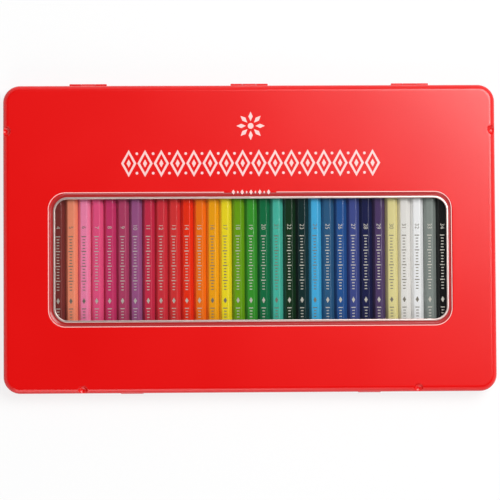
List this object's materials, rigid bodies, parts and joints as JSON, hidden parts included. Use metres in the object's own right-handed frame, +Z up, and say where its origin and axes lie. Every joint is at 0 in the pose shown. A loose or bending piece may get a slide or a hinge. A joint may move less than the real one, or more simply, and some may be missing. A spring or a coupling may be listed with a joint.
{
  "type": "coloured pencil tin",
  "caption": "Flat hinged tin box with a clear window in its lid, stop dimples and curled hinge knuckles, holding a row of coloured pencils in a grooved tray.",
  "frame": {"origin": "centre of the base pan's underside", "axes": "+X along the row of pencils, +Y towards the hinges and the pencils' points, +Z up"},
  "size_m": [0.291, 0.1835, 0.014],
  "materials": {
    "red_enamel": "satin-gloss red enamel on 0.3 mm tinplate; the inside and the rolled window hem are bare tin",
    "clear_pane": "clear stiff film, glossy",
    "pane_tape": "thin white foam tape, matt",
    "tray_plastic": "thermoformed dark plastic, satin",
    "hinge_steel": "plain drawn wire",
    "lacquer_umber": "gloss lacquer over cedar; the sharpened cone is bare wood round a coloured core",
    "lacquer_sienna": "gloss lacquer over cedar; the sharpened cone is bare wood round a coloured core",
    "lacquer_chestnut": "gloss lacquer over cedar; the sharpened cone is bare wood round a coloured core",
    "lacquer_brown": "gloss lacquer over cedar; the sharpened cone is bare wood round a coloured core",
    "lacquer_apricot": "gloss lacquer over cedar; the sharpened cone is bare wood round a coloured core",
    "lacquer_pink": "gloss lacquer over cedar; the sharpened cone is bare wood round a coloured core",
    "lacquer_rose": "gloss lacquer over cedar; the sharpened cone is bare wood round a coloured core",
    "lacquer_magenta": "gloss lacquer over cedar; the sharpened cone is bare wood round a coloured core",
    "lacquer_mauve": "gloss lacquer over cedar; the sharpened cone is bare wood round a coloured core",
    "lacquer_violet": "gloss lacquer over cedar; the sharpened cone is bare wood round a coloured core",
    "lacquer_crimson": "gloss lacquer over cedar; the sharpened cone is bare wood round a coloured core",
    "lacquer_carmine": "gloss lacquer over cedar; the sharpened cone is bare wood round a coloured core",
    "lacquer_red": "gloss lacquer over cedar; the sharpened cone is bare wood round a coloured core",
    "lacquer_vermilion": "gloss lacquer over cedar; the sharpened cone is bare wood round a coloured core",
    "lacquer_orange": "gloss lacquer over cedar; the sharpened cone is bare wood round a coloured core",
    "lacquer_amber": "gloss lacquer over cedar; the sharpened cone is bare wood round a coloured core",
    "lacquer_yellow": "gloss lacquer over cedar; the sharpened cone is bare wood round a coloured core",
    "lacquer_leaf_green": "gloss lacquer over cedar; the sharpened cone is bare wood round a coloured core",
    "lacquer_green": "gloss lacquer over cedar; the sharpened cone is bare wood round a coloured core",
    "lacquer_emerald": "gloss lacquer over cedar; the sharpened cone is bare wood round a coloured core",
    "lacquer_turquoise": "gloss lacquer over cedar; the sharpened cone is bare wood round a coloured core",
    "lacquer_fir_green": "gloss lacquer over cedar; the sharpened cone is bare wood round a coloured core",
    "lacquer_petrol": "gloss lacquer over cedar; the sharpened cone is bare wood round a coloured core",
    "lacquer_sky_blue": "gloss lacquer over cedar; the sharpened cone is bare wood round a coloured core",
    "lacquer_steel_blue": "gloss lacquer over cedar; the sharpened cone is bare wood round a coloured core",
    "lacquer_blue": "gloss lacquer over cedar; the sharpened cone is bare wood round a coloured core",
    "lacquer_ultramarine": "gloss lacquer over cedar; the sharpened cone is bare wood round a coloured core",
    "lacquer_indigo": "gloss lacquer over cedar; the sharpened cone is bare wood round a coloured core",
    "lacquer_purple": "gloss lacquer over cedar; the sharpened cone is bare wood round a coloured core",
    "lacquer_pale_gold": "gloss lacquer over cedar; the sharpened cone is bare wood round a coloured core",
    "lacquer_silver": "gloss lacquer over cedar; the sharpened cone is bare wood round a coloured core",
    "lacquer_white": "gloss lacquer over cedar; the sharpened cone is bare wood round a coloured core",
    "lacquer_grey": "gloss lacquer over cedar; the sharpened cone is bare wood round a coloured core",
    "lacquer_black": "gloss lacquer over cedar; the sharpened cone is bare wood round a coloured core",
    "lacquer_slate": "gloss lacquer over cedar; the sharpened cone is bare wood round a coloured core",
    "lacquer_copper": "gloss lacquer over cedar; the sharpened cone is bare wood round a coloured core"
  },
  "bodies": {
    "base": {"base_pan": "red_enamel", "pencil_tray": "tray_plastic", "hinge_pin_left": "hinge_steel", "hinge_pin_centre": "hinge_steel", "hinge_pin_right": "hinge_steel", "pencil_01_umber": "lacquer_umber", "pencil_02_sienna": "lacquer_sienna", "pencil_03_chestnut": "lacquer_chestnut", "pencil_04_brown": "lacquer_brown", "pencil_05_apricot": "lacquer_apricot", "pencil_06_pink": "lacquer_pink", "pencil_07_rose": "lacquer_rose", "pencil_08_magenta": "lacquer_magenta", "pencil_09_mauve": "lacquer_mauve", "pencil_10_violet": "lacquer_violet", "pencil_11_crimson": "lacquer_crimson", "pencil_12_carmine": "lacquer_carmine", "pencil_13_red": "lacquer_red", "pencil_14_vermilion": "lacquer_vermilion", "pencil_15_orange": "lacquer_orange", "pencil_16_amber": "lacquer_amber", "pencil_17_yellow": "lacquer_yellow", "pencil_18_leaf_green": "lacquer_leaf_green", "pencil_19_green": "lacquer_green", "pencil_20_emerald": "lacquer_emerald", "pencil_21_turquoise": "lacquer_turquoise", "pencil_22_fir_green": "lacquer_fir_green", "pencil_23_petrol": "lacquer_petrol", "pencil_24_sky_blue": "lacquer_sky_blue", "pencil_25_steel_blue": "lacquer_steel_blue", "pencil_26_blue": "lacquer_blue", "pencil_27_ultramarine": "lacquer_ultramarine", "pencil_28_indigo": "lacquer_indigo", "pencil_29_purple": "lacquer_purple", "pencil_30_pale_gold": "lacquer_pale_gold", "pencil_31_silver": "lacquer_silver", "pencil_32_white": "lacquer_white", "pencil_33_grey": "lacquer_grey", "pencil_34_black": "lacquer_black", "pencil_35_slate": "lacquer_slate", "pencil_36_copper": "lacquer_copper"},
    "lid": {"lid_shell": "red_enamel", "window_pane": "clear_pane", "pane_tape": "pane_tape"}
  },
  "joints": [
    {"name": "lid_hinge", "type": "hinge", "parent": "base", "child": "lid", "pos_m": [0, 0.09145, 0.007], "axis": [-1, 0, 0], "range_deg": [0, 180]}
  ]
}
